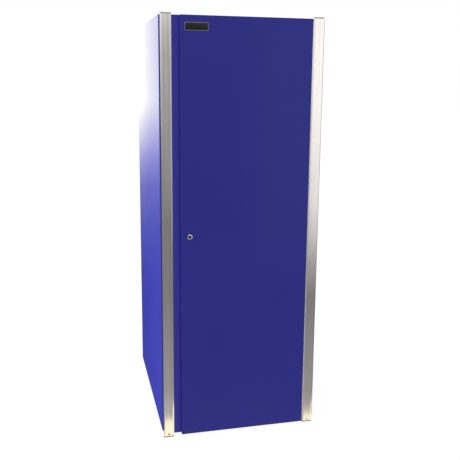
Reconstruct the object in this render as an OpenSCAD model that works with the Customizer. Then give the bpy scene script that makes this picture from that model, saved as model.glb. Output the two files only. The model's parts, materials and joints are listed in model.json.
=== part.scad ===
// Full-height side locker for tool storage: a folded sheet-steel cabinet with one plain
// full-height door on a continuous hinge, extruded aluminium trims on the two front
// corners, three adjustable shelves, and a key lock in the door that drives an upper
// and a lower bolt rod.
// +X is to the right of someone who faces the door, -Y is the front and +Z is up.
// The origin is in the middle of the footprint, on the floor. Inside the modules,
// y is counted from the door's face towards the back.

/* [Cabinet] */
// Width over the side panels
body_w = 616; // [580:1:700]
// Depth from the door's face to the screw heads on the back
cabinet_d = 760; // [700:5:800]
// Height of the corner trims with their end caps, which is the height of the locker
locker_h = 1602; // [1500:1:1700]
// Gap between the floor and the lower edge of the front frame and the door
body_lift = 12; // [8:1:16]
// Gap between the floor and the lower edge of the side panels
side_lift = 26; // [12:1:30]
// Rise of the trims above the top panel
trim_rise = 7; // [4:1:9]
// Sheet thickness of the shell panels
shell_t = 1.2; // [1:0.1:1.4]
// Sheet thickness of the front frame
frame_t = 1.5; // [1.2:0.1:1.6]
// Radius of the two rounded front corners of the side panels
corner_r = 3.5; // [3:0.5:6]

/* [Corner trims] */
// Width of a trim
trim_w = 40; // [36:1:44]
// Distance from a side panel's outer face to its trim
trim_inset = 4.5; // [3:0.5:5]
// Depth that a trim stands forward of the front frame
trim_d = 6; // [5.5:0.5:7]
// Width of the sloping band along each long edge of a trim
trim_bevel = 5; // [4:0.5:6]
// Fall of the sloping band, from the trim's face to its long edge
trim_bevel_fall = 1; // [0.5:0.25:2]
// Thickness of a trim's end cap
trim_cap_h = 5; // [4:0.5:6]

/* [Door] */
// Depth of the visible door pan in front of the frame
door_d = 18; // [16:0.5:18]
// Depth of the whole door with its inner liner
door_full_d = 38; // [36:1:40]
// Width of lock stile that shows between the left trim and the door
stile_show = 29; // [26:1:32]
// Gap between the door's hinge edge and the right trim
hinge_gap = 7; // [7:0.5:9]
// Sheet thickness of the door
door_t = 1.2; // [1:0.1:1.4]

/* [Lock] */
// Height of the lock's centre
lock_z = 801; // [700:1:900]
// Distance from the door's free edge to the lock's centre
lock_backset = 32; // [31:1:36]
// Radius of the lock's bezel
bezel_r = 10.75; // [10.5:0.25:12]
// Radius at which the two cam pins travel
cam_pin_travel_r = 12; // [12:0.5:12.5]
// Angle that the key turns, from unlocked to locked
lock_turn = 90; // [90:1:92]

/* [Shelves] */
// Depth of the turned-down shelf edges
shelf_edge = 25; // [20:1:30]
// Spacing of the slots in the shelf standards
slot_pitch = 50; // [40:5:60]

/* [Hidden] */
$fn = 64;
play = 0.2;
blue = [0.18, 0.19, 0.50];
metal = [0.78, 0.77, 0.74];
steel = [0.62, 0.63, 0.65];
black = [0.06, 0.06, 0.07];

// Front to back, counted from the door's face
lock_proud = 4;
door_face_y = lock_proud - (cabinet_d + lock_proud) / 2;
frame_y = door_d + 1;
frame_back_y = frame_y + 26;
screw_head = 2;
back_panel_y = cabinet_d - screw_head - shell_t;
side_back_y = back_panel_y;
tray_front_y = frame_y + frame_t + play;
tray_back_y = side_back_y - shell_t - play;
trim_front_y = frame_y - trim_d;

// Left to right
side_x = body_w / 2;
side_inner_x = side_x - shell_t;
trim_outer_x = side_x - trim_inset;
trim_inner_x = trim_outer_x - trim_w;
trim_x = trim_outer_x - trim_w / 2;
trim_wall = 1.8;
tongue_w = 24;
tongue_h = 20;
front_return_x = side_x - 15;
stile_outer_x = front_return_x - 0.5;
door_left_x = -trim_inner_x + stile_show;
door_right_x = trim_inner_x - hinge_gap;
hinge_x = trim_inner_x - hinge_gap / 2;
hinge_y = 10;
opening_left_x = door_left_x + 8;
opening_right_x = hinge_x + 1.5;
liner_left_x = opening_left_x + 5;
lock_x = door_left_x + lock_backset;

// Bottom to top
body_top = locker_h - trim_rise;
trim_screw_z = trim_cap_h + 7;
floor_z = 50;
sill_top = 72;
header_bottom = body_top - 50;
tray_edge = 20;
tray_x = side_inner_x - play;
liner_bottom = sill_top + 5;
liner_top = header_bottom - 5;
door_top = body_top - 0.4;
door_mid_x = (door_left_x + door_right_x) / 2;

// Continuous hinge
knuckle_r = 3;
hinge_pin_r = 1.5;
hinge_bore_r = 1.55;
leaf_t = 1.2;
hinge_count = 31;
hinge_z = body_lift + 10;
hinge_pitch = (door_top - 10 - hinge_z) / hinge_count;
hinge_slack = 0.3;
frame_leaf_x = opening_right_x - leaf_t;

// Lock and bolt rods
barrel_r = 9.5;
plug_r = 6.5;
barrel_end = 22;
cam_y = barrel_end + 2;
cam_t = 2;
cam_pin_r = 2;
rod_y = cam_y + cam_t + 1;
rod_t = 2.5;
rod_w = 8;
rod_reach = 10;
pin_rest_x = cam_pin_travel_r * cos(lock_turn / 2);
pin_rest_z = cam_pin_travel_r * sin(lock_turn / 2);
slot_in = pin_rest_x - cam_pin_r - 0.5;
slot_out = cam_pin_travel_r + cam_pin_r + 0.5;
slot_h = 2 * cam_pin_r + 1.8;
rod_head_wall = 2;
rod_tip_gap = 3;
upper_rod_top = header_bottom - rod_tip_gap;
lower_rod_bottom = sill_top + rod_tip_gap;

// Shelves and standards
standard_w = 20;
standard_d = 5;
standard_t = 1.5;
standard_z = [floor_z + shell_t + 4, body_top - tray_edge - 6];
front_standard_y = 100;
back_standard_y = 660;
shelf_x = side_inner_x - standard_d - 2.8;
shelf_y = [62, tray_back_y - 10];
slot_w = 4;
slot_len = 14;
slot_first = 45;
slot_total = floor((standard_z[1] - standard_z[0] - 2 * slot_first) / slot_pitch) + 1;
shelf_slots = [7, 14, 21];
clip_t = 2;
clip_reach = 18;

// Base channels
base_w = 120;
base_t = 3;
base_x = side_x - 20;
base_y = [45, 590];
caster_x = 220;
caster_spacing = [92, 67];
caster_hole_r = 5.25;

// Small fittings
plug_y = 92;
plug_z = 826;
plug_hole_r = 5;
plug_rim_t = 0.8;
anchor_x = 203.2;
anchor_z = body_top - 95;
anchor_r = 4.5;
back_screw_count = 8;
back_screw_x = side_x - 10;
back_screw_z = [60, body_top - 55];
plate_size = [84.5, 28.5];
plate_corner = [16, 25];
catch_y = door_full_d + 1.4;
catch_size = [50, 18, 17];

// ---------- Shared shapes ----------

// The low and high end of a length about its centre
function span(centre, length) = [centre - length / 2, centre + length / 2];

// A block between a low and a high value on each axis
module block(x, y, z) {
    translate([x[0], y[0], z[0]])
        cube([x[1] - x[0], y[1] - y[0], z[1] - z[0]]);
}

// A round bar along +Y
module bar_y(r, y, x, z) {
    translate([x, y[0], z]) rotate([-90, 0, 0]) cylinder(r = r, h = y[1] - y[0]);
}

// A plate at the top of the given block, with four edges turned down
module tray(x, y, z, t) {
    difference() {
        block(x, y, z);
        block([x[0] + t, x[1] - t], [y[0] + t, y[1] - t], [z[0] - 1, z[1] - t]);
    }
}

// A quarter of a bent sheet, in the corner towards -X and -Y
module bend(r, t) {
    intersection() {
        difference() {
            circle(r);
            circle(r - t);
        }
        translate([-r, -r]) square(r);
    }
}

// A rectangle with round corners, centred
module rounded_rect(size, r) {
    square([size[0] - 2 * r, size[1]], center = true);
    square([size[0], size[1] - 2 * r], center = true);
    for (sx = [-1, 1], sz = [-1, 1])
        translate([sx * (size[0] / 2 - r), sz * (size[1] / 2 - r)]) circle(r);
}

module from_door_face() {
    translate([0, door_face_y, 0]) children();
}

// Shapes drawn for the left side, kept there for side -1 and mirrored for side 1
module mirrored(side) {
    if (side < 0) children();
    else mirror([1, 0, 0]) children();
}

// ---------- Shell ----------

module side_outline() {
    back_return = 18;
    back_r = 3;
    translate([corner_r - side_x, frame_y + corner_r]) bend(corner_r, shell_t);
    translate([-side_x, frame_y + corner_r])
        square([shell_t, side_back_y - back_r - frame_y - corner_r]);
    translate([corner_r - side_x, frame_y])
        square([side_x - front_return_x - corner_r, shell_t]);
    translate([back_r - side_x, side_back_y - back_r]) mirror([0, 1]) bend(back_r, shell_t);
    translate([back_r - side_x, side_back_y - shell_t]) square([back_return - back_r, shell_t]);
}

function back_screw_height(i) = back_screw_z[0]
    + i * (back_screw_z[1] - back_screw_z[0]) / (back_screw_count - 1);

// Left side panel, mirrored for the right one
module side_panel(side) {
    color(blue) from_door_face() mirrored(side) difference() {
        translate([0, 0, side_lift]) linear_extrude(body_top - side_lift) side_outline();
        translate([-side_x - 1, plug_y, plug_z]) rotate([0, 90, 0])
            cylinder(r = plug_hole_r, h = shell_t + 2);
        for (i = [0:back_screw_count - 1])
            bar_y(2.1, [side_back_y - 3, side_back_y + 1], -back_screw_x, back_screw_height(i));
    }
}

module left_side_panel() {
    side_panel(-1);
}

module right_side_panel() {
    side_panel(1);
}

module back_panel() {
    color(blue) from_door_face() difference() {
        block([3 - side_x, side_x - 3], [back_panel_y, back_panel_y + shell_t],
            [body_lift + 2, body_top - 2]);
        for (i = [0:back_screw_count - 1], sx = [-1, 1])
            bar_y(2.1, [back_panel_y - 1, cabinet_d], sx * back_screw_x, back_screw_height(i));
        for (sx = [-1, 1])
            bar_y(anchor_r, [back_panel_y - 1, cabinet_d], sx * anchor_x, anchor_z);
    }
}

// The space outside the round front corners, which a tray between the side panels leaves free
module corner_relief(z) {
    for (side = [-1, 1]) mirrored(side)
        translate([corner_r - side_x, frame_y + corner_r, z[0] - 1])
            linear_extrude(z[1] - z[0] + 2) difference() {
                translate([-corner_r, -corner_r]) square(corner_r);
                circle(corner_r - shell_t - play);
            }
}

// A tray across the whole inside of the shell
module shell_tray(z) {
    color(blue) from_door_face() difference() {
        tray([-tray_x, tray_x], [tray_front_y, tray_back_y], z, shell_t);
        corner_relief(z);
    }
}

module top_panel() {
    shell_tray([body_top - tray_edge, body_top]);
}

module floor_panel() {
    shell_tray([floor_z + shell_t - tray_edge, floor_z + shell_t]);
}

module back_panel_screws() {
    color(steel) from_door_face()
        for (i = [0:back_screw_count - 1], sx = [-1, 1]) {
            bar_y(5, [cabinet_d - screw_head, cabinet_d], sx * back_screw_x, back_screw_height(i));
            bar_y(2, [side_back_y - 8, cabinet_d - screw_head / 2], sx * back_screw_x,
                back_screw_height(i));
        }
}

// Dished plugs in the hanging holes
module side_hole_plugs() {
    color(blue) from_door_face() for (side = [-1, 1]) mirrored(side)
        translate([-side_x, plug_y, plug_z]) rotate([0, 90, 0]) difference() {
            union() {
                cylinder(r = plug_hole_r - 0.3, h = shell_t + 2.5);
                translate([0, 0, -plug_rim_t]) cylinder(r = plug_hole_r + 1.2, h = plug_rim_t);
            }
            translate([0, 0, -1]) cylinder(r = plug_hole_r - 1.4, h = 3.2);
        }
}

// ---------- Front frame ----------

// A stile: a front plate with both long edges turned back, clear of the panels and rails
module stile(outer_x, inner_x) {
    low = min(outer_x, inner_x);
    high = max(outer_x, inner_x);
    edge_z = [floor_z + shell_t + 1, body_top - tray_edge - 1];
    block([low, high], [frame_y, frame_y + frame_t], [body_lift, body_top]);
    for (x = [low, high - frame_t])
        block([x, x + frame_t], [frame_y, frame_back_y],
            abs(x - inner_x) < 2 ? [sill_top, header_bottom] : edge_z);
}

module lock_stile() {
    color(blue) from_door_face() stile(-stile_outer_x, opening_left_x);
}

module hinge_stile() {
    color(blue) from_door_face() stile(stile_outer_x, opening_right_x);
}

// A hole for a bolt rod in a rail's turned edge
module rod_hole(x, z) {
    block([x - rod_w / 2 - 2, x + rod_w / 2 + 2], [rod_y - 2, rod_y + rod_t + 2],
        [z - 3, z + 3]);
}

module header_rail() {
    color(blue) from_door_face() difference() {
        union() {
            block([opening_left_x, opening_right_x], [frame_y, frame_y + frame_t],
                [header_bottom, body_top]);
            block([opening_left_x, opening_right_x], [frame_y, frame_back_y],
                [header_bottom, header_bottom + frame_t]);
        }
        rod_hole(lock_x + rod_reach, header_bottom);
    }
}

module sill_rail() {
    color(blue) from_door_face() difference() {
        union() {
            block([opening_left_x, opening_right_x], [frame_y, frame_y + frame_t],
                [body_lift, sill_top]);
            block([opening_left_x, opening_right_x], [frame_y, frame_back_y],
                [sill_top - frame_t, sill_top]);
        }
        rod_hole(lock_x - rod_reach, sill_top);
    }
}

// ---------- Corner trims ----------

// Outline of the trim seen from above, with the sloping bands on both long edges
module trim_outline() {
    polygon([[-trim_w / 2, trim_d], [-trim_w / 2, trim_bevel_fall],
        [trim_bevel - trim_w / 2, 0], [trim_w / 2 - trim_bevel, 0],
        [trim_w / 2, trim_bevel_fall], [trim_w / 2, trim_d]]);
}

module at_trim(side) {
    from_door_face() translate([side * trim_x, trim_front_y, 0]) children();
}

module trim(side) {
    color(metal) at_trim(side) difference() {
        translate([0, 0, trim_cap_h]) linear_extrude(locker_h - 2 * trim_cap_h) trim_outline();
        block([-trim_w / 2 + trim_bevel + 1, trim_w / 2 - trim_bevel - 1],
            [trim_wall, trim_d + 1], [0, locker_h]);
        bar_y(1.9, [-1, trim_d], 0, trim_screw_z);
    }
}

module left_trim() {
    trim(-1);
}

module right_trim() {
    trim(1);
}

// An end cap, with a tongue that fills the trim's hollow; low caps take the screw
module trim_cap(side, at_top) {
    color(steel) at_trim(side) difference() {
        union() {
            translate([0, 0, at_top ? locker_h - trim_cap_h : 0])
                linear_extrude(trim_cap_h) trim_outline();
            block([-tongue_w / 2, tongue_w / 2], [trim_wall + play, trim_d - play],
                at_top ? [locker_h - trim_cap_h - tongue_h, locker_h - trim_cap_h / 2]
                    : [trim_cap_h / 2, trim_cap_h + tongue_h]);
        }
        bar_y(1.5, [-1, trim_d + 1], 0, trim_screw_z);
    }
}

module left_trim_top_cap() {
    trim_cap(-1, true);
}

module left_trim_bottom_cap() {
    trim_cap(-1, false);
}

module right_trim_top_cap() {
    trim_cap(1, true);
}

module right_trim_bottom_cap() {
    trim_cap(1, false);
}

module trim_screws() {
    color(steel) for (side = [-1, 1]) at_trim(side) difference() {
        union() {
            bar_y(3.6, [-1, 0], 0, trim_screw_z);
            bar_y(1.5, [-0.5, trim_d - play], 0, trim_screw_z);
        }
        translate([0, -0.6, trim_screw_z]) cube([5, 1, 1], center = true);
    }
}

// ---------- Base ----------

// A channel with its web on the floor and a caster hole pattern near each end
module base_channel(y) {
    color(black) from_door_face() difference() {
        block([-base_x, base_x], [y, y + base_w], [0, floor_z]);
        block([-base_x - 1, base_x + 1], [y + base_t, y + base_w - base_t],
            [base_t, floor_z + 1]);
        for (side = [-1, 1], sx = [-0.5, 0.5], sy = [-0.5, 0.5])
            translate([side * caster_x + sx * caster_spacing[0],
                y + base_w / 2 + sy * caster_spacing[1], -1])
                cylinder(r = caster_hole_r, h = base_t + 2);
    }
}

module front_base_channel() {
    base_channel(base_y[0]);
}

module rear_base_channel() {
    base_channel(base_y[1]);
}

// ---------- Shelves ----------

function slot_z(i) = standard_z[0] + slot_first + i * slot_pitch;

// A shelf standard: a shallow channel on a side panel, slotted for the clips
module standard(side, y) {
    web_x = -side_inner_x + standard_d;
    color(steel) from_door_face() mirrored(side) difference() {
        block([-side_inner_x, web_x], [y, y + standard_w], standard_z);
        block([-side_inner_x - 1, web_x - standard_t],
            [y + standard_t, y + standard_w - standard_t],
            [standard_z[0] - 1, standard_z[1] + 1]);
        for (i = [0:slot_total - 1])
            block([web_x - 3, web_x + 1], span(y + standard_w / 2, slot_w),
                span(slot_z(i), slot_len));
    }
}

module front_left_standard() {
    standard(-1, front_standard_y);
}

module front_right_standard() {
    standard(1, front_standard_y);
}

module back_left_standard() {
    standard(-1, back_standard_y);
}

module back_right_standard() {
    standard(1, back_standard_y);
}

function shelf_z(level) = slot_z(shelf_slots[level]);

// A clip in each standard: a ledge under the shelf's edge, a back plate and a hook
module shelf_clips(level) {
    web_x = -side_inner_x + standard_d;
    z = shelf_z(level);
    color(steel) from_door_face()
        for (side = [-1, 1], y = [front_standard_y, back_standard_y]) mirrored(side)
            translate([0, y + standard_w / 2, 0]) {
                block([web_x, web_x + clip_reach], [-7, 7], [z - clip_t, z]);
                block([web_x, web_x + clip_t], [-7, 7], [z - clip_t - 14, z]);
                block([web_x - 2.5, web_x + 0.5], [-1.5, 1.5], [z - 5, z]);
                block([web_x - 3.3, web_x - 2.3], [-1.5, 1.5], [z - 8, z]);
            }
}

module lower_shelf_clips() {
    shelf_clips(0);
}

module middle_shelf_clips() {
    shelf_clips(1);
}

module upper_shelf_clips() {
    shelf_clips(2);
}

module shelf(level) {
    color(blue) from_door_face()
        tray([-shelf_x, shelf_x], shelf_y, [shelf_z(level), shelf_z(level) + shelf_edge],
            shell_t);
}

module lower_shelf() {
    shelf(0);
}

module middle_shelf() {
    shelf(1);
}

module upper_shelf() {
    shelf(2);
}

// ---------- Catches ----------

module upper_catch() {
    color(black) from_door_face()
        block([-catch_size[0] / 2, catch_size[0] / 2], [catch_y, catch_y + catch_size[1]],
            [header_bottom - catch_size[2], header_bottom]);
}

module lower_catch() {
    color(black) from_door_face()
        block([-catch_size[0] / 2, catch_size[0] / 2], [catch_y, catch_y + catch_size[1]],
            [sill_top, sill_top + catch_size[2]]);
}

module strike(z) {
    color(steel) from_door_face()
        block([-20, 20], [door_full_d, door_full_d + 1], [z - 4.5, z + 4.5]);
}

module upper_strike() {
    strike(header_bottom - 11);
}

module lower_strike() {
    strike(sill_top + 11);
}

// ---------- Hinge ----------

// The hinge's knuckles: every second one, starting at the given number
module knuckles(first) {
    for (i = [first:2:hinge_count - 1])
        translate([hinge_x, hinge_y, hinge_z + i * hinge_pitch + hinge_slack / 2])
            cylinder(r = knuckle_r, h = hinge_pitch - hinge_slack);
}

module knuckle_tabs(first, x, y) {
    for (i = [first:2:hinge_count - 1])
        block(x, y, [hinge_z + i * hinge_pitch + hinge_slack / 2,
            hinge_z + (i + 1) * hinge_pitch - hinge_slack / 2]);
}

module hinge_bore() {
    translate([hinge_x, hinge_y, 0]) cylinder(r = hinge_bore_r, h = locker_h);
}

module hinge_frame_leaf() {
    leaf_z = [hinge_z, hinge_z + hinge_count * hinge_pitch];
    leaf_x = [frame_leaf_x, opening_right_x];
    color(steel) from_door_face() difference() {
        union() {
            knuckles(0);
            knuckle_tabs(0, leaf_x, [hinge_y + 1.9, hinge_y + 4]);
            block(leaf_x, [hinge_y + 3.4, frame_y - 0.1], leaf_z);
            block(leaf_x, [hinge_y + 3.4, frame_back_y - 5],
                [sill_top + 2, header_bottom - 2]);
        }
        hinge_bore();
    }
}

module hinge_door_leaf() {
    leaf_z = [hinge_z, hinge_z + hinge_count * hinge_pitch];
    leaf_x = [door_right_x, door_right_x + leaf_t];
    color(steel) from_door_face() difference() {
        union() {
            knuckles(1);
            knuckle_tabs(1, leaf_x, [hinge_y, hinge_y + 3]);
            block(leaf_x, [hinge_y + 2.6, door_d], leaf_z);
            block(leaf_x, [hinge_y + 2.6, door_full_d - 2], [liner_bottom + 3, liner_top - 3]);
        }
        hinge_bore();
    }
}

module hinge_pin() {
    color(steel) from_door_face() translate([hinge_x, hinge_y, 0]) {
        translate([0, 0, hinge_z - 1]) cylinder(r = hinge_pin_r,
            h = hinge_count * hinge_pitch + 2);
        for (z = [hinge_z - 2, hinge_z + hinge_count * hinge_pitch + 0.5])
            translate([0, 0, z]) cylinder(r = 2.6, h = 1.5);
    }
}

// ---------- Door ----------

// Outline of the door's front pan seen from above: face, two edges and a return
module door_outline() {
    r = 2;
    translate([door_left_x + r, r]) bend(r, door_t);
    translate([door_right_x - r, r]) mirror([1, 0]) bend(r, door_t);
    translate([door_left_x + r, 0]) square([door_right_x - door_left_x - 2 * r, door_t]);
    translate([door_left_x, r]) square([door_t, door_d - r]);
    translate([door_right_x - door_t, r]) square([door_t, door_d - r]);
    translate([door_left_x, door_d - door_t])
        square([liner_left_x - play - door_left_x, door_t]);
}

// The front pan, with a deeper edge on the hinge side for the hinge leaf
module door_skin() {
    pan_x = [door_left_x + door_t / 2, door_right_x - door_t / 2];
    color(blue) from_door_face() difference() {
        union() {
            translate([0, 0, body_lift]) linear_extrude(door_top - body_lift) door_outline();
            block([door_right_x - door_t, door_right_x], [door_d - 1, door_full_d],
                [liner_bottom, liner_top]);
            for (z = [body_lift, door_top - door_t])
                block(pan_x, [door_t / 2, door_d], [z, z + door_t]);
            block(pan_x, [door_d - door_t, door_d], [body_lift, liner_bottom - play]);
            block(pan_x, [door_d - door_t, door_d], [liner_top + play, door_top]);
        }
        bar_y(barrel_r + 0.1, [-1, 5], lock_x, lock_z);
    }
}

// The inner liner: a pan that closes the door's back and carries the rods
module door_liner() {
    inner_right = door_right_x - door_t - play;
    flange = 10;
    color(blue) from_door_face() difference() {
        union() {
            difference() {
                block([liner_left_x, inner_right], [door_d - 2, door_full_d],
                    [liner_bottom, liner_top]);
                block([liner_left_x + door_t, inner_right + 1], [0, door_full_d - door_t],
                    [liner_bottom + door_t, liner_top - door_t]);
            }
            block([liner_left_x - flange, liner_left_x + door_t],
                [door_d - 2 * door_t - play, door_d - door_t - play],
                [liner_bottom, liner_top]);
            block([inner_right - door_t, inner_right], [door_d, door_full_d],
                [liner_bottom, liner_top]);
        }
        rod_window(lock_x + rod_reach, liner_top);
        rod_window(lock_x - rod_reach, liner_bottom);
    }
}

// Slot in an end wall of the liner for a bolt rod
module rod_window(x, z) {
    block([x - rod_w / 2 - 1, x + rod_w / 2 + 1], [rod_y - 1, rod_y + rod_t + 1],
        [z - 3, z + 3]);
}

// An upright hat-shaped stiffener between the face and the liner
module door_stiffener() {
    web = 40;
    lip = 14;
    inner = [door_t, door_full_d - door_t];
    x0 = door_mid_x - web / 2;
    color(blue) from_door_face() {
        for (x = [x0, x0 + web - door_t])
            block([x, x + door_t], inner, [liner_bottom + 25, liner_top - 25]);
        block([x0, x0 + web], [inner[1] - door_t, inner[1]],
            [liner_bottom + 25, liner_top - 25]);
        for (x = [x0 - lip, x0 + web - door_t])
            block([x, x + lip + door_t], [inner[0], inner[0] + door_t],
                [liner_bottom + 25, liner_top - 25]);
    }
}

// Rubber buffers on the back of the door pan that meet the frame
module door_bumpers() {
    color(black) from_door_face()
        for (z = [body_lift + 30, door_top - 30], x = [door_left_x + 60, door_right_x - 60])
            bar_y(5, [door_d, frame_y - 0.2], x, z);
}

module at_nameplate() {
    from_door_face()
        translate([door_left_x + plate_corner[0] + plate_size[0] / 2, 0,
            body_top - plate_corner[1] - plate_size[1] / 2])
        rotate([90, 0, 0]) children();
}

module nameplate_frame() {
    rim = 2;
    color(metal) at_nameplate() linear_extrude(2) difference() {
        rounded_rect(plate_size, 3);
        rounded_rect(plate_size - [2 * rim, 2 * rim], 1.5);
    }
}

module nameplate_insert() {
    rim = 2.1;
    color(black) at_nameplate() linear_extrude(1.4)
        rounded_rect(plate_size - [2 * rim, 2 * rim], 1.4);
}

// ---------- Lock ----------

module lock_housing() {
    color(metal) from_door_face() difference() {
        union() {
            bar_y(barrel_r, [-1, barrel_end], lock_x, lock_z);
            translate([lock_x, 0, lock_z]) rotate([90, 0, 0]) {
                cylinder(r = bezel_r, h = lock_proud - 1.5);
                translate([0, 0, lock_proud - 1.5])
                    cylinder(r1 = bezel_r, r2 = bezel_r - 1.5, h = 1.5);
            }
        }
        bar_y(plug_r + 0.05, [-lock_proud - 1, barrel_end + 1], lock_x, lock_z);
    }
}

module lock_nut() {
    color(steel) from_door_face() difference() {
        translate([lock_x, door_t, lock_z]) rotate([-90, 0, 0]) cylinder(r = 13.5, h = 4, $fn = 6);
        bar_y(barrel_r, [0, 6], lock_x, lock_z);
    }
}

// The turning plug, with the ring-shaped keyway and its guide notch
module lock_plug() {
    face_y = -lock_proud + 0.6;
    keyway_end = face_y + 6;
    color(steel) from_door_face() difference() {
        union() {
            bar_y(plug_r, [face_y, cam_y - play], lock_x, lock_z);
            bar_y(3.5, [cam_y - 1, cam_y + cam_t], lock_x, lock_z);
        }
        difference() {
            bar_y(4.6, [face_y - 1, keyway_end], lock_x, lock_z);
            bar_y(3.1, [face_y - 2, keyway_end + 1], lock_x, lock_z);
        }
        block([lock_x - 0.8, lock_x + 0.8], [face_y - 1, face_y + 3],
            [lock_z + 3.5, lock_z + 5.6]);
        bar_y(1.4, [cam_y - 6, cam_y + cam_t + 1], lock_x, lock_z);
    }
}

// The cam with its two pins, turned to the unlocked position
module lock_cam() {
    arm = cam_pin_travel_r + 3.5;
    color(steel) from_door_face() translate([lock_x, 0, lock_z])
        rotate([0, lock_turn / 2, 0]) difference() {
            union() {
                block([-arm, arm], [cam_y, cam_y + cam_t], [-4, 4]);
                bar_y(6.5, [cam_y, cam_y + cam_t], 0, 0);
                for (sx = [-1, 1])
                    bar_y(cam_pin_r, [cam_y + cam_t / 2, rod_y + rod_t + 1],
                        sx * cam_pin_travel_r, 0);
            }
            bar_y(3.5, [cam_y - 1, cam_y + cam_t + 1], 0, 0);
        }
}

module cam_screw() {
    head_y = cam_y + cam_t;
    color(steel) from_door_face() {
        bar_y(3.2, [head_y, head_y + 1.6], lock_x, lock_z);
        bar_y(1.4, [cam_y - 5, head_y + 0.5], lock_x, lock_z);
    }
}

// A bolt rod in its own frame: the slotted head round the axis, and the bar along +Z
module lock_rod(length) {
    head_in = slot_in - rod_head_wall;
    head_out = slot_out + rod_head_wall - 0.5;
    head_z = slot_h / 2 + 3.5;
    difference() {
        union() {
            block([head_in, head_out], [rod_y, rod_y + rod_t], [-head_z, head_z]);
            block([rod_reach - rod_w / 2, rod_reach + rod_w / 2], [rod_y, rod_y + rod_t],
                [0, length]);
        }
        block([slot_in, slot_out], [rod_y - 1, rod_y + rod_t + 1], slot_h * [-0.5, 0.5]);
    }
}

module upper_lock_rod() {
    start_z = lock_z - pin_rest_z;
    color(steel) from_door_face() translate([lock_x, 0, start_z])
        lock_rod(upper_rod_top - start_z);
}

module lower_lock_rod() {
    start_z = lock_z + pin_rest_z;
    color(steel) from_door_face() translate([lock_x, 0, start_z]) rotate([0, 180, 0])
        lock_rod(start_z - lower_rod_bottom);
}

// Plastic blocks on the liner that guide the rods
module rod_guides() {
    guide_h = 14;
    clear = 0.4;
    rods = [[1, liner_top - 60], [1, lock_z + 120], [-1, liner_bottom + 60], [-1, lock_z - 120]];
    color(black) from_door_face() for (rod = rods) translate([lock_x + rod[0] * rod_reach, 0, rod[1]])
        difference() {
            block([-7, 7], [rod_y - 2.5, door_full_d - door_t], guide_h * [-0.5, 0.5]);
            block([-rod_w / 2 - clear, rod_w / 2 + clear], [rod_y - clear, rod_y + rod_t + clear],
                guide_h * [-1, 1]);
        }
}

left_side_panel();
right_side_panel();
back_panel();
top_panel();
floor_panel();
lock_stile();
hinge_stile();
header_rail();
sill_rail();
left_trim();
right_trim();
left_trim_top_cap();
left_trim_bottom_cap();
right_trim_top_cap();
right_trim_bottom_cap();
trim_screws();
front_base_channel();
rear_base_channel();
back_panel_screws();
side_hole_plugs();
front_left_standard();
front_right_standard();
back_left_standard();
back_right_standard();
lower_shelf();
middle_shelf();
upper_shelf();
lower_shelf_clips();
middle_shelf_clips();
upper_shelf_clips();
upper_catch();
lower_catch();
hinge_frame_leaf();
hinge_pin();
door_skin();
door_liner();
door_stiffener();
hinge_door_leaf();
nameplate_frame();
nameplate_insert();
upper_strike();
lower_strike();
door_bumpers();
rod_guides();
lock_housing();
lock_nut();
lock_plug();
lock_cam();
cam_screw();
upper_lock_rod();
lower_lock_rod();
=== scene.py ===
"""Looks of a full-height side locker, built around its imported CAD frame.

Lengths are in metres, unless a comment says otherwise. +X is to the right of someone who
faces the door, -Y is the front and +Z is up. The origin is on the floor, in the middle of
the footprint.
"""
import json
import math

import bmesh
import bpy
from mathutils import Matrix, Vector


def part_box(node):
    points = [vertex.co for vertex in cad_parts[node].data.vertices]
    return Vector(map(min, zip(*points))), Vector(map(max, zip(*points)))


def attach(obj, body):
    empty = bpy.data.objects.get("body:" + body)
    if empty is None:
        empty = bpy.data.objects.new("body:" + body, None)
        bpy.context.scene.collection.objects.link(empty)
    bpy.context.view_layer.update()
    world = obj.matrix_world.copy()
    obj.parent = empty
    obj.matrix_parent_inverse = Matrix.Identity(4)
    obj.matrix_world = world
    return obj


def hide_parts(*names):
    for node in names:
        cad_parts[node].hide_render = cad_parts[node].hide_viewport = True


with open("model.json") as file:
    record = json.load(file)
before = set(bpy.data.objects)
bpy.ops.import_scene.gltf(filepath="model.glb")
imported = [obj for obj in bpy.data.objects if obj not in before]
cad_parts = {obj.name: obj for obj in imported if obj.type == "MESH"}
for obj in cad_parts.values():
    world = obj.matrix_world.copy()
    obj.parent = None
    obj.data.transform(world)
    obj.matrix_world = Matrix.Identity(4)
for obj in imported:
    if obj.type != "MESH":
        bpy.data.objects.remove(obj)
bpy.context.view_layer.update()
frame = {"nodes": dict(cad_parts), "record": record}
MM = 0.001
DOOR_FACE = -0.378     # y of the door's outer face

# ---------------------------------------------------------------- camera

CAMERA_PLACE = Vector((-0.6186, -2.7669, 1.3632))
CAMERA_YAW = math.radians(13.749)     # towards +X
CAMERA_PITCH = math.radians(10.648)   # downwards
CAMERA_ROLL = math.radians(-0.555)
CAMERA_LENS = 52.53                   # mm
CAMERA_SENSOR = 36.0                  # mm
CAMERA_SHIFT = (-0.0091, -0.0459)
CAMERA_FAR = 100.0


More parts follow.
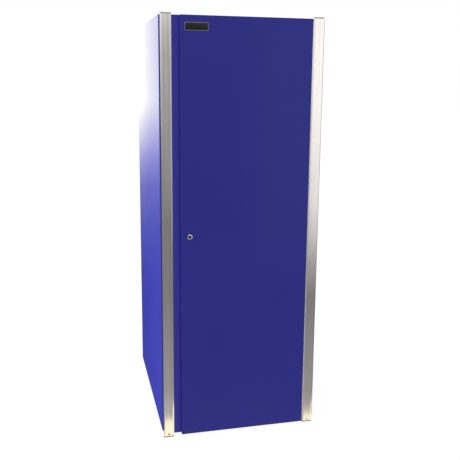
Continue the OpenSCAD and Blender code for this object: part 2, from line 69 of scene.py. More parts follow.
def make_camera():
    data = bpy.data.cameras.new("camera")
    data.sensor_width = CAMERA_SENSOR
    data.lens = CAMERA_LENS
    data.shift_x, data.shift_y = CAMERA_SHIFT
    data.clip_end = CAMERA_FAR
    camera = bpy.data.objects.new("camera", data)
    bpy.context.scene.collection.objects.link(camera)
    cy, sy = math.cos(CAMERA_YAW), math.sin(CAMERA_YAW)
    cp, sp = math.cos(CAMERA_PITCH), math.sin(CAMERA_PITCH)
    forward = Vector((sy * cp, cy * cp, -sp))
    level_right = Vector((cy, -sy, 0.0))
    level_down = forward.cross(level_right)
    cr, sr = math.cos(CAMERA_ROLL), math.sin(CAMERA_ROLL)
    right = level_right * cr + level_down * sr
    up = level_right * sr - level_down * cr
    turn = Matrix((right, up, -forward)).transposed()
    camera.matrix_world = Matrix.Translation(CAMERA_PLACE) @ turn.to_4x4()
    bpy.context.scene.camera = camera


# ---------------------------------------------------------------- node helpers

class Nodes:
    """A short way to write the node tree of a material, given by name, or of a world."""

    def __init__(self, owner):
        if isinstance(owner, str):
            owner = bpy.data.materials.new(owner)
            owner.use_nodes = True
            self.out = owner.node_tree.nodes["Material Output"]
            self.shader = owner.node_tree.nodes["Principled BSDF"]
        else:
            owner.node_tree.nodes.clear()
            self.out = owner.node_tree.nodes.new("ShaderNodeOutputWorld")
        self.material = owner
        self.tree = owner.node_tree

    def feed(self, socket, value):
        """Links an output to the socket, or gives the socket a fixed value."""
        if hasattr(value, "is_output"):
            self.tree.links.new(value, socket)
        else:
            socket.default_value = value

    def add(self, kind, inputs=None, **settings):
        """A new node, with its settings made first and then its inputs, by name or number."""
        node = self.tree.nodes.new(kind)
        for key, value in settings.items():
            setattr(node, key, value)
        for key, value in (inputs or {}).items():
            self.feed(node.inputs[key], value)
        return node

    def set(self, **inputs):
        """Inputs of the material's shader, with _ in place of each space in a name."""
        for key, value in inputs.items():
            self.feed(self.shader.inputs[key.replace("_", " ")], value)

    def place(self, stretch=(1.0, 1.0, 1.0)):
        """Object coordinates, squeezed along each axis."""
        where = self.add("ShaderNodeTexCoord").outputs["Object"]
        return self.add("ShaderNodeMapping", {"Vector": where, "Scale": stretch}).outputs[0]

    def noise(self, scale, detail=3.0, stretch=(1.0, 1.0, 1.0)):
        """Noise from 0 to 1, with about scale blotches to the metre."""
        inputs = {"Vector": self.place(stretch), "Scale": scale, "Detail": detail}
        return self.add("ShaderNodeTexNoise", inputs).outputs["Fac"]

    def ramp(self, value, low, high, low_out=0.0, high_out=1.0):
        """value from low..high mapped to low_out..high_out, and held beyond them."""
        inputs = {"Value": value, "From Min": low, "From Max": high,
                  "To Min": low_out, "To Max": high_out}
        return self.add("ShaderNodeMapRange", inputs).outputs["Result"]

    def mix(self, factor, first, second):
        """Two plain values mixed; the sockets go by number because their names repeat."""
        return self.add("ShaderNodeMix", {0: factor, 2: first, 3: second}).outputs[0]

    def blend(self, factor, first, second):
        """Two colours mixed."""
        inputs = {0: factor, 6: first, 7: second}
        return self.add("ShaderNodeMix", inputs, data_type="RGBA").outputs[2]

    def math(self, operation, first, second=0.0):
        return self.add("ShaderNodeMath", {0: first, 1: second}, operation=operation).outputs[0]

    def vector(self, operation, first, second):
        """Arithmetic on colours, channel by channel."""
        inputs = {0: first, 1: second}
        return self.add("ShaderNodeVectorMath", inputs, operation=operation).outputs[0]

    def soft(self, value, low, high):
        """0 below low, 1 above high, and a smooth step between them."""
        inputs = {"Value": value, "From Min": low, "From Max": high}
        node = self.add("ShaderNodeMapRange", inputs, interpolation_type="SMOOTHSTEP")
        return node.outputs["Result"]

    def window(self, value, low, high, edge):
        """1 between low and high, with soft edges outside them."""
        rise = self.soft(value, low - edge, low)
        fall = self.math("SUBTRACT", 1.0, self.soft(value, high, high + edge))
        return self.math("MULTIPLY", rise, fall)

    def profile(self, value, low, high, stops):
        """A curve through (value, level) stops, with straight lines between them. Every stop
        has its value between low and high."""
        peak = max(level for _, level in stops)
        ramp = self.add("ShaderNodeValToRGB", {"Fac": self.ramp(value, low, high)})
        elements = ramp.color_ramp.elements
        while len(elements) < len(stops):
            elements.new(0.5)
        for element, (at, level) in zip(elements, stops):
            element.position = (at - low) / (high - low)
            element.color = rgb(*[level / peak] * 3)
        return self.math("MULTIPLY", ramp.outputs["Color"], peak)

    def bump(self, height, distance):
        """Relief of the material's shader, from a height of 0 to 1 and its depth in metres."""
        node = self.add("ShaderNodeBump", {"Height": height, "Distance": distance})
        self.set(Normal=node.outputs["Normal"])


def rgb(red, green, blue):
    return (red, green, blue, 1.0)


def shade(colour, factor):
    """A colour made darker or lighter, with no channel above 1."""
    return rgb(*(min(1.0, channel * factor) for channel in colour))


# ---------------------------------------------------------------- materials

PAINT_BLUE = (0.0334, 0.0368, 0.279)
FRAME_BLUE_LIT = (0.0440, 0.0485, 0.362)   # the door's blue made a shade lighter: painted light on the recessed front frame

# Where the middle of a noise lies; a roughness spreads over this part of it
NOISE_MIDDLE = (0.3, 0.7)

PAINT_DRIFT = (0.96, 1.04)             # darkest and lightest shade of the paint
PAINT_SPREAD = 0.03                    # of its roughness
PAINT_CLEAR_SKIN = {"Coat_Weight": 0.5, "Coat_Roughness": 0.09, "Coat_IOR": 1.2}
PEEL_DEPTH = 0.00003

BRUSH_STREAKS = (900.0, 900.0, 2.0)    # streaks to the metre along each axis
BROAD_STREAKS = 0.16                   # of that number, for the broader ones
BRUSH_SHADES = (0.90, 1.08)
BRUSH_SHADE_RANGE = (0.75, 1.25)       # of the two streak noises added, from dark to light
BRUSH_SPREAD = (-0.02, 0.03)           # of its roughness
BRUSH_SPREAD_RANGE = (0.7, 1.3)        # of the same sum, from smooth to rough
BRUSH_DEPTH = 0.00010

SPANGLE_SHADE = 0.8                    # darkest shade of plated metal
SPANGLE_SPREAD = 0.08
SCRATCH_DEPTH = 0.00002

GRAIN_SHADE = 1.25                     # lightest shade of moulded plastic
GRAIN_SPREAD = 0.05


def paint_material(name, colour, roughness=0.35):
    """Gloss powder coat: slight shade drift, orange peel and a thin clear skin."""
    n = Nodes(name)
    drift = n.noise(3.0, detail=2.0)
    darkest, lightest = (shade(colour, factor) for factor in PAINT_DRIFT)
    n.set(Base_Color=n.blend(drift, darkest, lightest))
    grain = n.noise(420.0, detail=2.0)
    n.set(Roughness=n.ramp(grain, *NOISE_MIDDLE, roughness - PAINT_SPREAD,
                           roughness + PAINT_SPREAD))
    n.set(Specular_IOR_Level=0.0, **PAINT_CLEAR_SKIN)
    n.bump(n.noise(260.0, detail=1.5), PEEL_DEPTH)
    return n.material


def brushed_metal(name, colour, roughness):
    """Metal brushed along Z: fine lengthwise streaks in shade and relief, blurred sideways."""
    n = Nodes(name)
    fine = n.noise(1.0, detail=2.0, stretch=BRUSH_STREAKS)
    broad = n.noise(1.0, detail=3.0, stretch=tuple(s * BROAD_STREAKS for s in BRUSH_STREAKS))
    mixed = n.math("ADD", fine, broad)
    darkest, lightest = (shade(colour, factor) for factor in BRUSH_SHADES)
    n.set(Base_Color=n.blend(n.ramp(mixed, *BRUSH_SHADE_RANGE), darkest, lightest))
    n.set(Metallic=1.0, Anisotropic=1.0)
    spread = (roughness + change for change in BRUSH_SPREAD)
    n.set(Roughness=n.ramp(mixed, *BRUSH_SPREAD_RANGE, *spread))
    n.bump(fine, BRUSH_DEPTH)
    return n.material


def plated_steel(name, colour, roughness=0.32):
    """Plated metal: a faint cloudy spangle and fine scratches."""
    n = Nodes(name)
    cloud = n.noise(120.0, detail=4.0)
    n.set(Base_Color=n.blend(cloud, shade(colour, SPANGLE_SHADE), rgb(*colour)), Metallic=1.0)
    n.set(Roughness=n.ramp(cloud, *NOISE_MIDDLE, roughness - SPANGLE_SPREAD,
                           roughness + SPANGLE_SPREAD))
    n.bump(n.noise(900.0, detail=2.0), SCRATCH_DEPTH)
    return n.material


def moulded(name, colour, roughness, grain_depth):
    """Moulded plastic or rubber with a fine matt grain."""
    n = Nodes(name)
    grain = n.noise(900.0, detail=3.0)
    n.set(Base_Color=n.blend(n.noise(60.0), rgb(*colour), shade(colour, GRAIN_SHADE)))
    n.set(Roughness=n.ramp(grain, *NOISE_MIDDLE, roughness - GRAIN_SPREAD,
                           roughness + GRAIN_SPREAD))
    n.set(Specular_IOR_Level=0.2)
    n.bump(grain, grain_depth)
    return n.material


MATERIALS = {
    "blue_paint": paint_material("blue_paint", PAINT_BLUE),
    # a lighter copy of the blue paint: painted light for the recessed front frame
    "frame_paint_lit": paint_material("frame_paint_lit", FRAME_BLUE_LIT),
    "black_paint": paint_material("black_paint", (0.018, 0.018, 0.020), 0.42),
    "trim_aluminium": brushed_metal("trim_aluminium", (0.765, 0.732, 0.695), 0.068),
    "cap_metal": plated_steel("cap_metal", (0.42, 0.42, 0.41), 0.40),
    "zinc_steel": plated_steel("zinc_steel", (0.58, 0.58, 0.59)),
    "lock_chrome": plated_steel("lock_chrome", (0.78, 0.78, 0.80), 0.18),
    # near-black steel for the lock plug: painted shade of its recess in the bezel
    "plug_steel_shaded": plated_steel("plug_steel_shaded", (0.10, 0.095, 0.09), 0.22),
    "dull_steel": plated_steel("dull_steel", (0.34, 0.30, 0.25), 0.34),
    "plate_metal": plated_steel("plate_metal", (0.36, 0.35, 0.32), 0.30),
    "plate_black": moulded("plate_black", (0.008, 0.008, 0.009), 0.30, 0.00001),
    "black_plastic": moulded("black_plastic", (0.020, 0.020, 0.021), 0.55, 0.00004),
    "blue_plastic": moulded("blue_plastic", (0.024, 0.026, 0.170), 0.45, 0.00003),
    "black_rubber": moulded("black_rubber", (0.014, 0.014, 0.014), 0.75, 0.00005),
}


# ---------------------------------------------------------------- pieces on the CAD shapes

NODE_SLOTS = {part["node"]: part["material_slot"] for part in frame["record"]["subparts"]}
BODY_OF = {node: body for body, nodes in frame["record"]["behaviour"]["bodies"].items()
           for node in nodes}

# Nodes of the front frame, which take a lighter copy of the paint, with painted light, within
# the paint's slot
FRAME_NODES = ("lock_stile", "hinge_stile", "header_rail", "sill_rail")

SHARP_EDGE = 32.0         # degrees; a sharper edge than this is eased
TRIM_SHARP_EDGE = 6.0     # the same on the trims and their caps, whose bevels are shallow
EASED_SEGMENTS = 2
WELD_DISTANCE = 2e-6      # corners of a CAD mesh this close are one
FLAT_ANGLE = 0.6          # degrees; faces of a CAD mesh this close to flat are one


def mesh_piece(name, node, build, bevel=0.0, look=None, sharp=SHARP_EDGE):
    """Turns a bmesh into a piece that rides with a node's body and stands for that node. It
    takes the look that is named, or else the look of the node's slot."""
    mesh = bpy.data.meshes.new(name)
    bmesh.ops.recalc_face_normals(build, faces=build.faces)
    build.to_mesh(mesh)
    build.free()
    for polygon in mesh.polygons:
        polygon.use_smooth = True
    piece = bpy.data.objects.new(name, mesh)
    bpy.context.scene.collection.objects.link(piece)
    slot = NODE_SLOTS[node]
    # the front frame takes the lighter copy of the paint: painted light
    look = look or ("frame_paint_lit" if node in FRAME_NODES else slot)
    mesh.materials.append(MATERIALS[look])
    if bevel:
        edge = piece.modifiers.new("eased edges", "BEVEL")
        edge.width = bevel
        edge.segments = EASED_SEGMENTS
        edge.limit_method = "ANGLE"
        edge.angle_limit = math.radians(sharp)
        edge.harden_normals = True
    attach(piece, BODY_OF[node])
    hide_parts(node)


def node_shape(node):
    """A CAD node's own faces as a bmesh, joined up and without its inner flat edges."""
    source = frame["nodes"][node]
    build = bmesh.new()
    corners = [build.verts.new(source.matrix_world @ v.co) for v in source.data.vertices]
    for polygon in source.data.polygons:
        build.faces.new([corners[i] for i in polygon.vertices])
    bmesh.ops.remove_doubles(build, verts=build.verts, dist=WELD_DISTANCE)
    bmesh.ops.dissolve_limit(build, angle_limit=math.radians(FLAT_ANGLE), verts=build.verts,
                             edges=build.edges)
    return build


# Width of the eased edges, by node
EASED_EDGES = {
    "left_side_panel": 0.0004, "right_side_panel": 0.0004, "back_panel": 0.0004,
    "top_panel": 0.0008, "floor_panel": 0.0008, "lock_stile": 0.0006, "hinge_stile": 0.0006,
    "header_rail": 0.0006, "sill_rail": 0.0006, "left_trim": 0.0004, "right_trim": 0.0004,
    "left_trim_top_cap": 0.0006, "left_trim_bottom_cap": 0.0006,
    "right_trim_top_cap": 0.0006, "right_trim_bottom_cap": 0.0006,
    "front_base_channel": 0.0012, "rear_base_channel": 0.0012,
    "front_left_standard": 0.0005, "front_right_standard": 0.0005,
    "back_left_standard": 0.0005, "back_right_standard": 0.0005,
    "lower_shelf": 0.0010, "middle_shelf": 0.0010, "upper_shelf": 0.0010,
    "lower_shelf_clips": 0.0004, "middle_shelf_clips": 0.0004, "upper_shelf_clips": 0.0004,
    "upper_catch": 0.0012, "lower_catch": 0.0012, "hinge_frame_leaf": 0.0002,
    "hinge_door_leaf": 0.0002, "hinge_pin": 0.0003, "door_skin": 0.0005,
    "door_liner": 0.0006, "door_stiffener": 0.0004, "upper_strike": 0.0003,
    "lower_strike": 0.0003, "door_bumpers": 0.0004, "rod_guides": 0.0008,
    "lock_nut": 0.0005, "lock_cam": 0.0004, "cam_screw": 0.0003,
    "upper_lock_rod": 0.0005, "lower_lock_rod": 0.0005,
}


def ease_nodes():
    """A piece with rounded edges for each node that keeps its CAD shape."""
    for node, width in EASED_EDGES.items():
        sharp = TRIM_SHARP_EDGE if "trim" in node else SHARP_EDGE
        mesh_piece(node + "_eased", node, node_shape(node), bevel=width, sharp=sharp)


def finish_cad_nodes():
    """Each CAD node gets its slot's material, though a piece stands for every one of them."""
    for name, obj in frame["nodes"].items():
        material = MATERIALS[NODE_SLOTS[name]]
        if not obj.material_slots:
            obj.data.materials.append(material)
        for holder in obj.material_slots:
            holder.material = material


# ---------------------------------------------------------------- turned and moulded pieces

MOST_CUT = 0.45           # of a side's length, taken by the round corner at its end
EASE_STEPS = 3            # sides of a round corner in a turned outline
LOCK_SIDES = 72           # sides of each turned piece, round its axis
SCREW_SIDES = 40
PLUG_SIDES = 48

LOCK_BORE = 6.55 * MM     # radius of the hole that the plug sits in
BARREL_RADIUS = 9.5 * MM
BEZEL_LIP = 7.0 * MM      # radius at which the bezel's dome is highest
BEZEL_STEP = 0.6 * MM     # fall from the lip to the bore's edge
DOME_STEP = 6             # degrees between two points of the dome
RING_WELD = 1e-6          # rings this close are one, which closes the bezel's outline
# The plug's outline from its middle outwards, in mm: (radius, depth below its face). The
# deep part is the ring that the key goes into.
PLUG_FACE = ((0.0, 0.15), (2.7, 0.0), (3.1, 0.2), (3.1, 5.5), (4.6, 5.5), (4.6, 0.3), (5.0, 0.0),
             (6.1, 0.0), (6.5, 0.4))
PLUG_RADIUS = 6.5 * MM
PLUG_TAIL = (3.5 * MM, 3.2 * MM)      # radius and length of the part that holds the cam
PLUG_EASE = 0.12 * MM

PLATE_CORNER_STEPS = 8
PLATE_LEAST_CORNER = 0.2 * MM
PLATE_EDGE_MIDDLE = 0.3   # how far in the middle of a soft edge lies, in shares of its width
RIM_WIDTH = 1.6 * MM
RIM_CORNERS = (3.0 * MM, 1.6 * MM)    # outer and inner corner radius
RIM_EASE = 0.7 * MM
INSERT_OVERLAP = 0.4 * MM             # the insert reaches this far under the rim
INSERT_CORNER = 1.7 * MM
INSERT_EASE = 0.3 * MM

# A screw's outline from its middle outwards, in shares of the head's radius and height
SCREW_HEAD = ((0.0, 0.45), (0.34, 0.45), (0.42, 1.0), (0.62, 0.97), (0.85, 0.72), (1.0, 0.25),
              (1.0, 0.0))
SCREW_EASE = 0.06                     # of the head's radius
SCREW_SPACING = 12.0 * MM             # solids nearer to each other than this are one screw
TRIM_SCREW = (3.6 * MM, 1.0 * MM, 1.5 * MM)    # radius and height of the head, shank radius
BACK_SCREW = (5.0 * MM, 2.0 * MM, 2.0 * MM)

# The side plug's outline, in mm: (distance in from its outer edge, height above the panel)
SIDE_PLUG = ((3.0, -2.2), (2.5, 0.8), (0.6, 0.8), (0.0, 0.0), (1.5, 0.0), (1.5, -3.7))
SIDE_PLUG_RIM = 0.8 * MM
SIDE_PLUG_EASE = 0.3 * MM


def turned(build, profile, centre, axis="-Y", sides=LOCK_SIDES):
    """A solid of revolution: (radius, height) points, turned about an axis through centre.
    Height counts along the axis."""
    turn = {"-Y": lambda r, t, h: (r * math.cos(t), -h, r * math.sin(t)),
            "Y": lambda r, t, h: (r * math.cos(t), h, r * math.sin(t)),
            "-X": lambda r, t, h: (-h, r * math.cos(t), r * math.sin(t)),
            "X": lambda r, t, h: (h, r * math.cos(t), r * math.sin(t))}[axis]
    rings = []
    for radius, height in profile:
        if radius == 0.0:
            rings.append([build.verts.new(Vector(turn(0.0, 0.0, height)) + centre)])
            continue
        rings.append([build.verts.new(Vector(turn(radius, math.tau * i / sides, height))
                                      + centre) for i in range(sides)])
    for low, high in zip(rings, rings[1:]):
        for i in range(sides):
            j = (i + 1) % sides
            loop = [low[i % len(low)], low[j % len(low)], high[j % len(high)],
                    high[i % len(high)]]
            build.faces.new(list(dict.fromkeys(loop)))


def rounded(points, radius):
    """A profile with all its corners but the first and the last rounded, to the radius or as
    far as their sides allow."""
    out = [Vector(points[0])]
    for before, here, after in zip(points, points[1:], points[2:]):
        here = Vector(here)
        to_before, to_after = Vector(before) - here, Vector(after) - here
        cut = min(radius, MOST_CUT * to_before.length, MOST_CUT * to_after.length)
        start, end = here + to_before.normalized() * cut, here + to_after.normalized() * cut
        for i in range(EASE_STEPS + 1):
            t = i / EASE_STEPS
            out.append((1 - t) ** 2 * start + 2 * t * (1 - t) * here + t ** 2 * end)
    out.append(Vector(points[-1]))
    return [tuple(p) for p in out]


def build_lock():
    """The lock's bezel, its barrel behind the door, and the plug with its ring keyway."""
    low, high = (Vector(c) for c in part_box("lock_housing"))
    centre = (low + high) / 2
    radius = (high.x - low.x) / 2
    proud = DOOR_FACE - low.y
    barrel_end = DOOR_FACE - high.y
    at = Vector((centre.x, DOOR_FACE, centre.z))
    bezel = bmesh.new()
    outline = [(LOCK_BORE, barrel_end), (BARREL_RADIUS, barrel_end), (BARREL_RADIUS, 0.0)]
    for step in range(0, 91, DOME_STEP):
        angle = math.radians(step)
        outline.append((BEZEL_LIP + (radius - BEZEL_LIP) * math.cos(angle),
                        proud * math.sin(angle)))
    outline += [(LOCK_BORE, proud - BEZEL_STEP), (LOCK_BORE, barrel_end)]
    turned(bezel, outline, at)
    bmesh.ops.remove_doubles(bezel, verts=bezel.verts, dist=RING_WELD)
    mesh_piece("lock_bezel_and_barrel", "lock_housing", bezel)

    plug_low, plug_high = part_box("lock_plug")
    face = DOOR_FACE - plug_low[1]
    end = DOOR_FACE - plug_high[1]
    tail_radius, tail = PLUG_TAIL
    outline = [(radius * MM, face - depth * MM) for radius, depth in PLUG_FACE]
    outline += [(PLUG_RADIUS, end + tail), (tail_radius, end + tail), (tail_radius, end),
                (0.0, end)]
    plug = bmesh.new()
    turned(plug, rounded(outline, PLUG_EASE), at)
    # the plug is near black: painted shade of the recess it sits in
    mesh_piece("lock_plug_turned", "lock_plug", plug, look="plug_steel_shaded")


def plate_loops(build, low, high, front, back, radius, edge):
    """Loops of corners round a plate in XZ with round corners and a soft front edge: two at
    the back, then two that lead to the front."""
    loops = []
    part = edge * PLATE_EDGE_MIDDLE
    for inset, depth in ((0.0, back), (0.0, front + edge), (part, front + part), (edge, front)):
        loop = []
        for cx, cz, start in ((high[0], high[1], 0), (low[0], high[1], 90),
                              (low[0], low[1], 180), (high[0], low[1], 270)):
            corner = max(radius - inset, PLATE_LEAST_CORNER)
            ox = cx - math.copysign(radius, cx - (low[0] + high[0]) / 2)
            oz = cz - math.copysign(radius, cz - (low[1] + high[1]) / 2)
            for i in range(PLATE_CORNER_STEPS + 1):
                t = math.radians(start + 90.0 * i / PLATE_CORNER_STEPS)
                loop.append(build.verts.new((ox + corner * math.cos(t), depth,
                                             oz + corner * math.sin(t))))
        loops.append(loop)
    return loops


def bridge(build, first, second):
    """A band of faces between two loops with the same number of corners."""
    count = len(first)
    for i in range(count):
        j = (i + 1) % count
        build.faces.new((first[i], first[j], second[j], second[i]))


def build_nameplate():
    """A rim with a soft edge round a blank black insert."""
    low, high = (Vector(c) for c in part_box("nameplate_frame"))
    build = bmesh.new()
    outer = plate_loops(build, (low.x, low.z), (high.x, high.z), low.y, high.y,
                        RIM_CORNERS[0], RIM_EASE)
    inner = plate_loops(build, (low.x + RIM_WIDTH, low.z + RIM_WIDTH),
                        (high.x - RIM_WIDTH, high.z - RIM_WIDTH), low.y, high.y,
                        RIM_CORNERS[1], 0.0)
    for loops in (outer, inner[:1] + inner[-1:]):
        for first, second in zip(loops, loops[1:]):
            bridge(build, first, second)
    bridge(build, outer[-1], inner[-1])
    bridge(build, outer[0], inner[0])
    bmesh.ops.delete(build, geom=[v for v in build.verts if not v.link_faces], context="VERTS")
    mesh_piece("nameplate_rim", "nameplate_frame", build)

    low, high = (Vector(c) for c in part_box("nameplate_insert"))
    build = bmesh.new()
    loops = plate_loops(build, (low.x - INSERT_OVERLAP, low.z - INSERT_OVERLAP),
                        (high.x + INSERT_OVERLAP, high.z + INSERT_OVERLAP), low.y, high.y,
                        INSERT_CORNER, INSERT_EASE)
    for first, second in zip(loops, loops[1:]):
        bridge(build, first, second)
    build.faces.new(loops[0])
    build.faces.new(loops[-1])
    mesh_piece("nameplate_blank", "nameplate_insert", build)


def screw(build, at, axis, sizes, shank):
    """A domed head with a round dish for the driver, and a shank of the given length behind
    it. Its seat is at the point given."""
    radius, height, shank_radius = sizes
    profile = [(radius * across, height * up) for across, up in SCREW_HEAD]
    profile += [(shank_radius, 0.0), (shank_radius, -shank), (0.0, -shank)]
    turned(build, rounded(profile, radius * SCREW_EASE), at, axis, SCREW_SIDES)


def islands(node):
    """The corners of each separate solid of a node's CAD shape, as (low, high) pairs."""
    build = node_shape(node)
    seen = set()
    found = []
    for start in build.verts:
        if start in seen:
            continue
        seen.add(start)
        group = [start]
        for vert in group:     # grows on the way, until the solid's last corner is in it
            for edge in vert.link_edges:
                other = edge.other_vert(vert)
                if other not in seen:
                    seen.add(other)
                    group.append(other)
        found.append((Vector([min(v.co[i] for v in group) for i in range(3)]),
                      Vector([max(v.co[i] for v in group) for i in range(3)])))
    build.free()
    return found


def merged(boxes):
    """Boxes with their middles close in X and Z belong to one screw; this gives one box for
    each screw."""
    out = []
    for low, high in boxes:
        here = (low + high) / 2
        for i, (other_low, other_high) in enumerate(out):
            other = (other_low + other_high) / 2
            if max(abs(other.x - here.x), abs(other.z - here.z)) < SCREW_SPACING:
                out[i] = (Vector([min(a, b) for a, b in zip(low, other_low)]),
                          Vector([max(a, b) for a, b in zip(high, other_high)]))
                break
        else:
            out.append((low, high))
    return out


def build_screws():
    """Domed screws low on the trims and down both edges of the back."""
    for name, look, side in (("left_trim_screw", "dull_steel", -1),
                             ("right_trim_screw", "trim_aluminium", 1)):
        build = bmesh.new()
        for low, high in merged(islands("trim_screws")):
            centre = (low + high) / 2
            if centre.x * side > 0:
                centre.y = low.y + TRIM_SCREW[1]
                screw(build, centre, "-Y", TRIM_SCREW, high.y - centre.y)
        mesh_piece(name, "trim_screws", build, look=look)
    build = bmesh.new()
    for low, high in merged(islands("back_panel_screws")):
        centre = (low + high) / 2
        centre.y = high.y - BACK_SCREW[1]
        screw(build, centre, "Y", BACK_SCREW, centre.y - low.y)
    mesh_piece("back_panel_screws_domed", "back_panel_screws", build)


def build_side_plugs():
    """Dished plastic plugs in the hanging holes."""
    low, high = (Vector(c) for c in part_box("side_hole_plugs"))
    centre = (low + high) / 2
    outer = (high.z - low.z) / 2
    profile = [(outer - inset * MM, height * MM) for inset, height in SIDE_PLUG]
    profile = [(0.0, profile[0][1])] + profile + [(0.0, profile[-1][1])]
    build = bmesh.new()
    for side, axis in ((low.x + SIDE_PLUG_RIM, "-X"), (high.x - SIDE_PLUG_RIM, "X")):
        at = Vector((side, centre.y, centre.z))
        turned(build, rounded(profile, SIDE_PLUG_EASE), at, axis, PLUG_SIDES)
    mesh_piece("side_plugs_dished", "side_hole_plugs", build)


# ---------------------------------------------------------------- stage and lights

# A slope is a ray's rise over its level distance; a turn is in degrees to the right of -Y.
# A TURN is (first, last, soft edge). A SLOPE is where a light starts and where it is full.
# STUDIO_FRONT, STUDIO_BACK and SOFTBOX_STOPS are (slope, brightness) stops.
ALL_SLOPES = (-1.0, 1.0)
LOW_SLOPES = (-0.5, 0.5)
LEAST_LEVEL = 0.02        # level distance that keeps the slope finite overhead
BACK_TURN = (120.0, 165.0)            # from the front wall to the back wall, either way round

STUDIO_FRONT = ((-0.505, 0.49), (-0.485, 0.39), (-0.41, 0.33), (-0.32, 0.265), (-0.21, 0.225),
                (-0.11, 0.31), (-0.02, 0.40), (0.04, 0.46), (0.075, 0.60), (0.10, 0.80),
                (0.20, 0.60), (0.40, 0.10))
STUDIO_BACK = ((-0.33, 0.0), (-0.28, 0.02), (-0.216, 0.14), (-0.152, 0.44), (-0.109, 1.12),
               (-0.068, 2.40), (-0.027, 3.95), (0.10, 3.80), (0.30, 0.60))
WARM_WALL = (1.0, 0.99, 0.60)         # tint of the back wall's bright part
WARM_WALL_SLOPE = (-0.16, -0.03)

SOFTBOX_STOPS = ((-0.32, 0.0), (-0.265, 0.21), (-0.221, 0.47), (-0.177, 0.65), (-0.114, 0.69),
                 (-0.05, 0.735), (0.043, 0.72), (0.089, 0.50), (0.20, 0.50), (0.45, 0.0))
SOFTBOX_TURNS = ((18.0, 26.0, 4.0),   # seen in the right trim's face
                 (-8.0, -3.0, 2.5),   # and in its two shallow bevels
                 (39.0, 60.0, 4.0))
SOFTBOX_POWER = 1.31
KEY_TURN = (-145.0, -95.0, 12.0)      # a wall of light to the left and behind
KEY_SLOPE = (-0.60, 0.0)
KEY_POWER = 7.4
STREAK_TURN = (-19.0, -13.0, 3.0)     # seen in the left trim's outer bevel
STREAK_SLOPE = (-0.14, 0.10)
STREAK_POWER = 0.4
FILL_TURN = (-40.0, 25.0, 14.0)       # above the front
FILL_SLOPE = (0.18, 0.35)
FILL_TOP = (0.9, 1.3)                 # where it fades again
FILL_POWER = 1.8

FLAG_TURN = (-150.0, -28.0, 10.0)     # a black card that only mirrors see
FLAG_DEPTH = 0.92
CARD_TURN = (72.0, 135.0, 8.0)        # a white card that only mirrors see
CARD_POWER = 1.2
GLOW = (0.45, 0.28, 0.14)             # warm light on the right, just above the near floor
GLOW_TURN = (17.0, 27.0, 6.0)
GLOW_SLOPE = (0.497, 0.526)           # below the horizon

NEAR_FLOOR = (1.38, 1.28, 0.98)
NEAR_FLOOR_TURN = (-85.0, 100.0, 15.0)
NEAR_FLOOR_SLOPE = (-0.533, -0.528)   # its far edge
NEAR_FLOOR_SLANT = 0.0010             # rise of that edge for each degree to the right
NEAR_FLOOR_LEVEL = 8.5                # turn at which the slant is nothing
NEAR_FLOOR_END = (-1.1, -0.75)        # its near edge
DIM_FLOOR = (0.12, 0.12, 0.12)        # what the near floor fades into at its ends

WHITE = rgb(1.0, 1.0, 1.0)
BLACK = rgb(0.0, 0.0, 0.0)

FLOOR_REACH = 30.0
FLOOR_GLOW = 0.97
FLOOR_MATT = rgb(0.06, 0.06, 0.06)


def floor_material():
    """A floor that glows almost white and still takes a faint shadow."""
    n = Nodes("floor")
    n.tree.nodes.remove(n.shader)
    glow = n.add("ShaderNodeEmission", {"Color": WHITE, "Strength": FLOOR_GLOW})
    matt = n.add("ShaderNodeBsdfDiffuse", {"Color": FLOOR_MATT})
    both = n.add("ShaderNodeAddShader", {0: glow.outputs[0], 1: matt.outputs[0]})
    n.feed(n.out.inputs["Surface"], both.outputs[0])
    return n.material


def make_floor():
    """The camera sees it. The object does not, and mirrors the world's own floor instead."""
    mesh = bpy.data.meshes.new("floor")
    corners = [(x * FLOOR_REACH, y * FLOOR_REACH, 0.0)
               for x, y in ((-1, -1), (1, -1), (1, 1), (-1, 1))]
    mesh.from_pydata(corners, [], [(0, 1, 2, 3)])
    mesh.materials.append(floor_material())
    floor = bpy.data.objects.new("floor", mesh)
    bpy.context.scene.collection.objects.link(floor)
    floor.visible_glossy = False
    floor.visible_diffuse = False


def ray_way(n):
    """The slope and the turn of the way a ray goes."""
    way = n.add("ShaderNodeTexCoord").outputs["Generated"]
    x, y, z = n.add("ShaderNodeSeparateXYZ", {0: way}).outputs
    front = n.math("MULTIPLY", y, -1.0)
    level = n.math("SQRT", n.math("ADD", n.math("MULTIPLY", x, x), n.math("MULTIPLY", y, y)))
    slope = n.math("DIVIDE", z, n.math("MAXIMUM", level, LEAST_LEVEL))
    turn = n.math("MULTIPLY", n.math("ARCTAN2", x, front), 180.0 / math.pi)
    return slope, turn


def grey_light(n, slope, turn, behind):
    """The two walls, with the softboxes, key wall, streak and fill added to them."""
    light = n.mix(behind, n.profile(slope, *ALL_SLOPES, STUDIO_FRONT),
                  n.profile(slope, *LOW_SLOPES, STUDIO_BACK))
    softboxes = n.window(turn, *SOFTBOX_TURNS[0])
    for side in SOFTBOX_TURNS[1:]:
        softboxes = n.math("ADD", softboxes, n.window(turn, *side))
    fill = n.math("SUBTRACT", n.soft(slope, *FILL_SLOPE), n.soft(slope, *FILL_TOP))
    lamps = ((softboxes, n.profile(slope, *LOW_SLOPES, SOFTBOX_STOPS), SOFTBOX_POWER),
             (n.window(turn, *KEY_TURN), n.soft(slope, *KEY_SLOPE), KEY_POWER),
             (n.window(turn, *STREAK_TURN), n.soft(slope, *STREAK_SLOPE), STREAK_POWER),
             (n.window(turn, *FILL_TURN), fill, FILL_POWER))
    for across, up, power in lamps:
        lamp = n.math("MULTIPLY", n.math("MULTIPLY", across, up), power)
        light = n.math("ADD", light, lamp)
    return light


def mirror_card(n, turn, card_turn, power):
    """A tall card that only mirrors see."""
    mirrored = n.add("ShaderNodeLightPath").outputs["Is Glossy Ray"]
    return n.math("MULTIPLY", n.math("MULTIPLY", n.window(turn, *card_turn), mirrored), power)


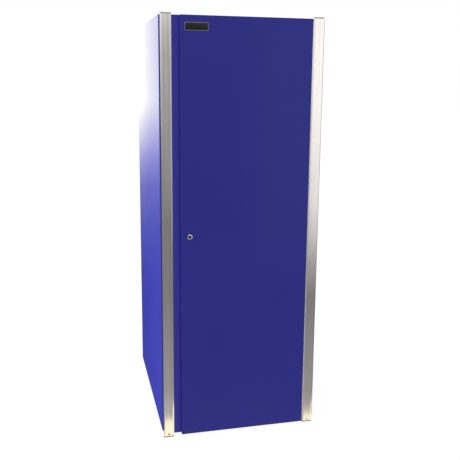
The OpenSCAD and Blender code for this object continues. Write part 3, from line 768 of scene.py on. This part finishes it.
def make_world():
    """White to the eye. To the object it is a studio: a front wall with softboxes, a streak
    and a fill above them; a key wall on the left; a warm white wall behind that ends above the
    floor; a black and a white card that only mirrors see; a warm glow low on the right; and a
    pale floor close by."""
    world = bpy.data.worlds.new("studio")
    bpy.context.scene.world = world
    world.use_nodes = True
    n = Nodes(world)
    slope, turn = ray_way(n)
    behind = n.soft(n.math("ABSOLUTE", turn), *BACK_TURN)

    warm = n.math("MULTIPLY", behind, n.soft(slope, *WARM_WALL_SLOPE))
    light = n.vector("MULTIPLY", grey_light(n, slope, turn, behind),
                     n.blend(warm, WHITE, rgb(*WARM_WALL)))
    flag = mirror_card(n, turn, FLAG_TURN, FLAG_DEPTH)
    light = n.vector("MULTIPLY", light, n.math("SUBTRACT", 1.0, flag))
    light = n.vector("ADD", light, mirror_card(n, turn, CARD_TURN, CARD_POWER))
    below = n.soft(n.math("MULTIPLY", slope, -1.0), *GLOW_SLOPE)
    glow = n.math("MULTIPLY", n.window(turn, *GLOW_TURN), below)
    light = n.vector("ADD", light, n.blend(glow, BLACK, rgb(*GLOW)))

    from_level = n.math("SUBTRACT", turn, NEAR_FLOOR_LEVEL)
    edge = n.math("SUBTRACT", slope, n.math("MULTIPLY", from_level, NEAR_FLOOR_SLANT))
    near = n.math("SUBTRACT", 1.0, n.soft(edge, *NEAR_FLOOR_SLOPE))
    pale = n.math("MULTIPLY", n.window(turn, *NEAR_FLOOR_TURN), n.soft(slope, *NEAR_FLOOR_END))
    light = n.blend(near, light, n.blend(pale, rgb(*DIM_FLOOR), rgb(*NEAR_FLOOR)))

    studio = n.add("ShaderNodeBackground", {"Color": light})
    white = n.add("ShaderNodeBackground", {"Color": WHITE, "Strength": 1.0})
    seen = n.add("ShaderNodeLightPath").outputs["Is Camera Ray"]
    both = n.add("ShaderNodeMixShader", {0: seen, 1: studio.outputs[0], 2: white.outputs[0]})
    n.feed(n.out.inputs["Surface"], both.outputs[0])


# ---------------------------------------------------------------- putting it together

bpy.context.scene.view_settings.view_transform = "Standard"
make_camera()
make_world()
make_floor()
finish_cad_nodes()
ease_nodes()
build_lock()
build_nameplate()
build_screws()
build_side_plugs()
